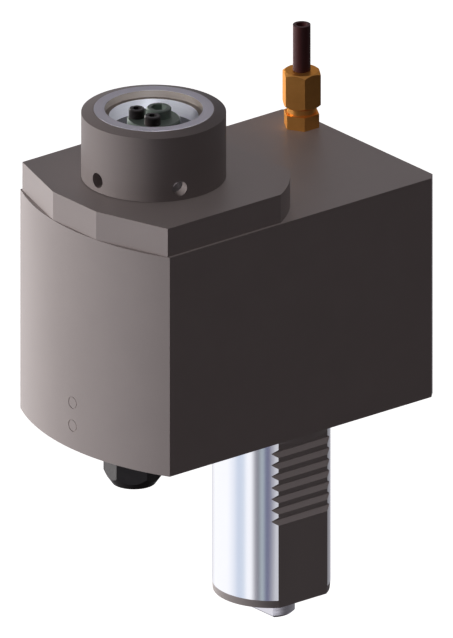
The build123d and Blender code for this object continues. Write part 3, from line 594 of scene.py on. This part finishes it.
# ---- Studio -------------------------------------------------------------------------
@dataclass
class Studio:
    """Camera, lamps, surroundings and floor."""

    azimuth: float = 50.89
    elevation: float = 22.04
    view_height: float = 214.81 * MM
    aim_across: float = -15.05 * MM
    aim_up: float = 22.83 * MM
    floor_size: float = 3.0
    floor_drop: float = 30.0 * MM

    def view_axes(self) -> tuple[Vector, Vector, Vector]:
        """Right, up and back of the camera."""
        turn, tilt = math.radians(self.azimuth), math.radians(self.elevation)
        right = Vector((math.cos(turn), math.sin(turn), 0.0))
        back = Vector((math.sin(turn) * math.cos(tilt), -math.cos(turn) * math.cos(tilt), math.sin(tilt)))
        return right, back.cross(right), back

    def camera(self) -> None:
        """Orthographic camera at the object's viewing angle."""
        right, up, back = self.view_axes()
        data = bpy.data.cameras.new("camera")
        data.type = "ORTHO"
        data.ortho_scale = self.view_height
        data.clip_end = 10.0
        made = bpy.data.objects.new("camera", data)
        bpy.context.scene.collection.objects.link(made)
        place = right * self.aim_across + up * self.aim_up + back
        made.matrix_world = Matrix.Translation(place) @ Matrix((right, up, back)).transposed().to_4x4()
        bpy.context.scene.camera = made

    def sun(self, name: str, azimuth: float, elevation: float, strength: float, colour: Colour,
            spread: float = 20.0, only: Sequence[str] = ()) -> None:
        """Soft lamp a long way off.

        Args:
            name: The lamp's name.
            azimuth: Where it stands, in degrees from +X towards +Y.
            elevation: How high it stands, in degrees.
            strength: Irradiance.
            colour: Its colour.
            spread: How wide it looks, in degrees.
            only: CAD nodes that it lights, or none for everything.
        """
        data = bpy.data.lights.new(name, "SUN")
        data.energy = strength
        data.color = colour
        data.angle = math.radians(spread)
        data.use_shadow = False
        made = bpy.data.objects.new(name, data)
        bpy.context.scene.collection.objects.link(made)
        turn, tilt = math.radians(azimuth), math.radians(elevation)
        toward = Vector((math.cos(turn) * math.cos(tilt), math.sin(turn) * math.cos(tilt), math.sin(tilt)))
        made.rotation_euler = toward.to_track_quat("Z", "Y").to_euler()
        if only:
            lit = bpy.data.collections.new(f"lit_by_{name}")
            for node in only:
                lit.objects.link(frame["nodes"][node])
            made.light_linking.receiver_collection = lit

    def surroundings(self) -> None:
        """White backdrop, dim fill, and softboxes that only reflections see."""
        world = bpy.data.worlds.new("studio")
        bpy.context.scene.world = world
        tree = ShaderTree(world)
        direction = tree.node("ShaderNodeTexCoord", output="Generated")
        x, y, z = tree.parts(direction)
        turn = tree.node("ShaderNodeMath", {"operation": "ARCTAN2"}, {0: y, 1: x}) / (2 * math.pi) + 0.5
        dark = (0.03, 0.026, 0.028)
        white = (1.10, 1.10, 1.12)
        stops = (
            (0.0, white), (0.13, white), (0.175, (0.90, 0.93, 1.0)), (0.205, (0.66, 0.73, 0.86)),
            (0.235, (0.72, 0.79, 0.90)), (0.26, white), (0.282, white), (0.305, (0.36, 0.35, 0.39)),
            (0.321, (0.22, 0.22, 0.25)), (0.343, (0.50, 0.57, 0.61)), (0.368, (0.11, 0.11, 0.22)),
            (0.398, (0.42, 0.42, 0.47)), (0.425, (0.80, 0.80, 0.83)), (0.455, dark), (0.60, dark), (0.78, (0.2, 0.2, 0.21)), (0.88, (0.5, 0.49, 0.54)), (1.0, white),
        )
        boxes = tree.node("ShaderNodeValToRGB", {"stops": stops}, {"Fac": turn}, "Color")
        overhead = z.ramp(0.10, 0.40)
        beneath = (z * -1.0).ramp(0.55, 0.75)
        seen = tree.mix(overhead, boxes, (0.36, 0.345, 0.36))
        seen = tree.mix(beneath, seen, dark)
        rays = tree.node("ShaderNodeLightPath", output="Is Camera Ray")
        glossy = Wire(tree, rays.socket.node.outputs["Is Glossy Ray"])
        colour = tree.mix(glossy, (0.084, 0.076, 0.078), seen)
        colour = tree.mix(rays, colour, (1.0, 1.0, 1.0))
        background = tree.node("ShaderNodeBackground", None, {"Color": colour, "Strength": 1.0}, "Background")
        tree.node_end("ShaderNodeOutputWorld", "Surface", background)

    def floor(self) -> None:
        """Plain pale floor under the object, which throws no light back on it."""
        low = CAD_BOX[0]
        mesh = bpy.data.meshes.new("floor")
        shape = bmesh.new()
        bmesh.ops.create_grid(shape, x_segments=1, y_segments=1, size=self.floor_size)
        bmesh.ops.translate(shape, verts=shape.verts, vec=Vector((0.0, 0.0, low.z - self.floor_drop)))
        shape.to_mesh(mesh)
        shape.free()
        made = bpy.data.objects.new("floor", mesh)
        bpy.context.scene.collection.objects.link(made)
        made.visible_diffuse = False
        made.visible_glossy = False
        material = bpy.data.materials.new("pale_floor")
        tree = ShaderTree(material)
        tree.surface(Base_Color=(0.8, 0.8, 0.8, 1.0), Roughness=0.9, Emission_Color=(1.0, 1.0, 1.0, 1.0),
                     Emission_Strength=1.0)
        mesh.materials.append(material)

    def build(self) -> None:
        """Sets the whole studio."""
        self.camera()
        self.floor()
        self.sun("key", -125.0, 8.5, 1.98, (1.0, 0.965, 0.955))
        turned = ("nose_collar", "tool_spindle")
        self.sun("left_fill", 180.0, 0.0, 2.2, (1.0, 0.975, 0.95),
                 only=[node for node in frame["nodes"] if node not in turned])
        self.sun("tooth_lamp", -39.0, 84.0, 0.62, (1.0, 0.95, 0.97), only=("shank",))
        self.sun("socket_lamp", self.azimuth - 80.0, 3.0, 2.4, (0.93, 0.94, 1.0), only=("tool_spindle",))
        self.sun("tang_lamp", self.azimuth - 62.0, 5.0, 6.0, (0.95, 0.94, 1.0), only=("drive_shaft",))
        self.surroundings()
        bpy.context.scene.view_settings.view_transform = "Standard"


def main() -> None:
    """Builds the units in order and reports each piece."""
    for unit in (Studio(), HousingBlock(), ShankUnit(), SpindleUnit(), DriveTrain(), CoolantConnector()):
        unit.build()
        log.info("%s done", type(unit).__name__)


if __name__ == "__main__":
    main()
